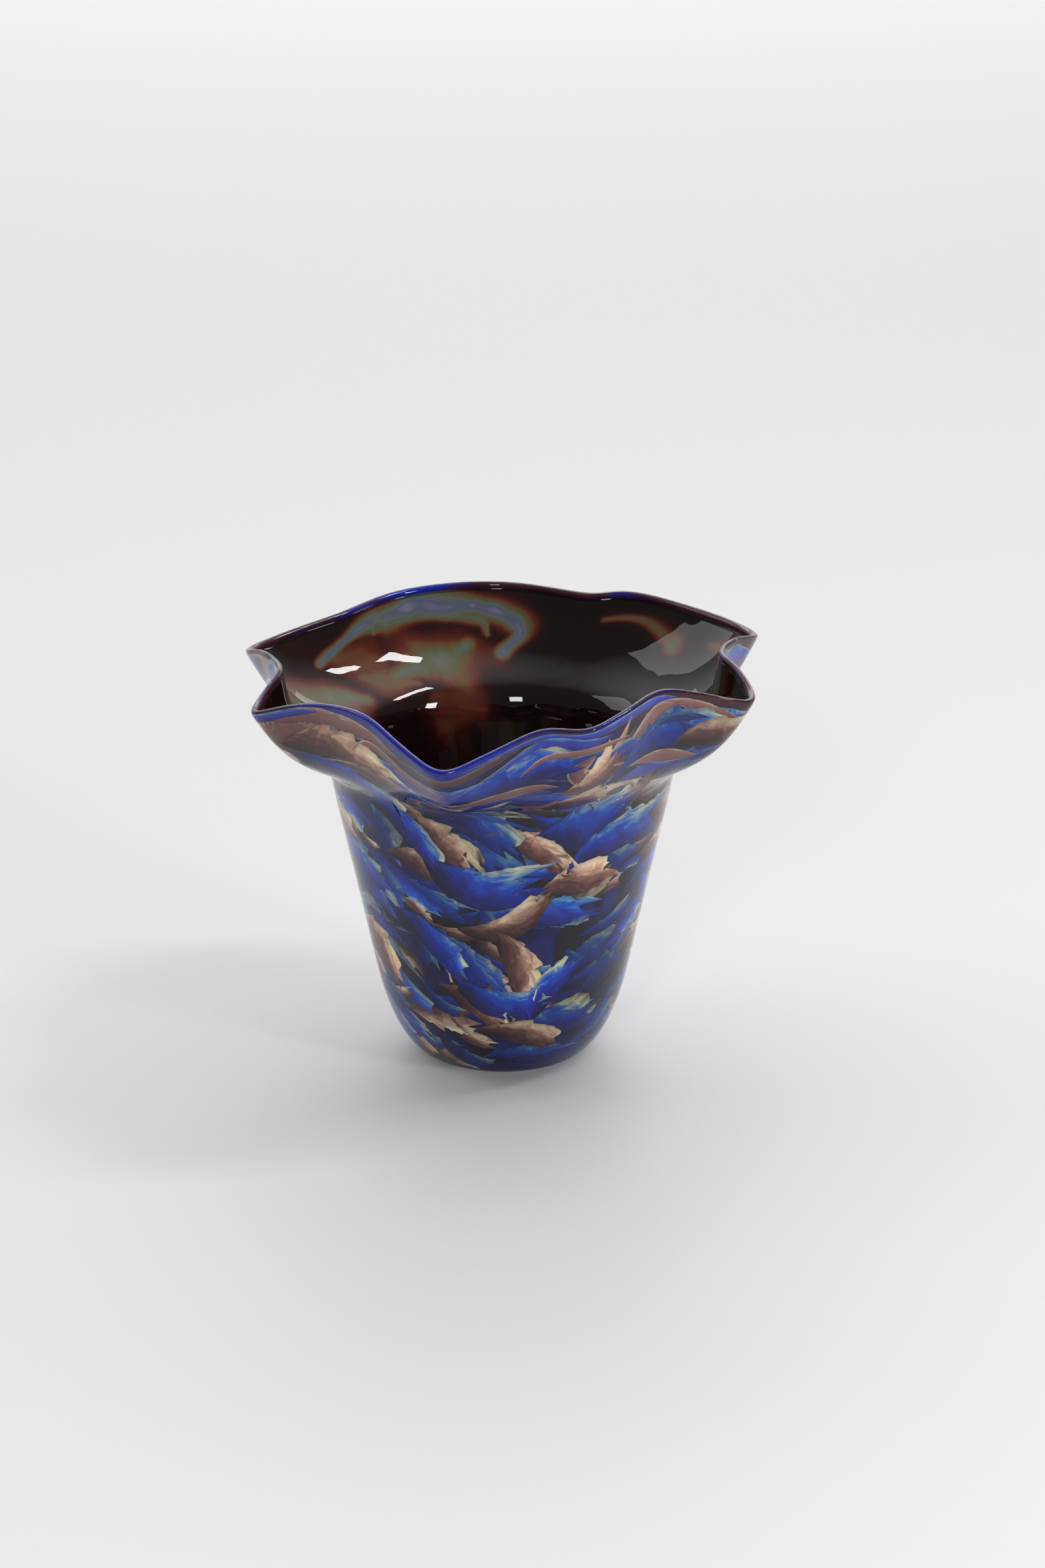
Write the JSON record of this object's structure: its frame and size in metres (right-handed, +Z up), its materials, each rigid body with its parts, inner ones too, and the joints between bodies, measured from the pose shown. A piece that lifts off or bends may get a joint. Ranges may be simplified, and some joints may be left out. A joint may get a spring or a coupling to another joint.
{
  "type": "blown glass vase",
  "caption": "Round hand blown glass vase with a slightly conical body, clear foot, chips of blue and rose glass under a clear casing, and a wide ruffled mouth.",
  "frame": {"origin": "middle of the flat foot, on the surface that the vase stands on", "axes": "+Z up along the vase's axis, -Y towards the front, +X to the right"},
  "size_m": [0.2781, 0.2805, 0.2349],
  "materials": {
    "clear_glass": "clear, fire polished",
    "dark_glass": "near-black plum glass, glossy",
    "cobalt_glass": "cobalt blue glass with pale edges",
    "rose_glass": "dusty rose-brown glass with pale edges"
  },
  "bodies": {
    "root": {"clear_casing": "clear_glass", "inner_gather": "dark_glass", "cobalt_chips": "cobalt_glass", "rose_chips": "rose_glass", "punty_seal": "clear_glass"}
  },
  "joints": []
}
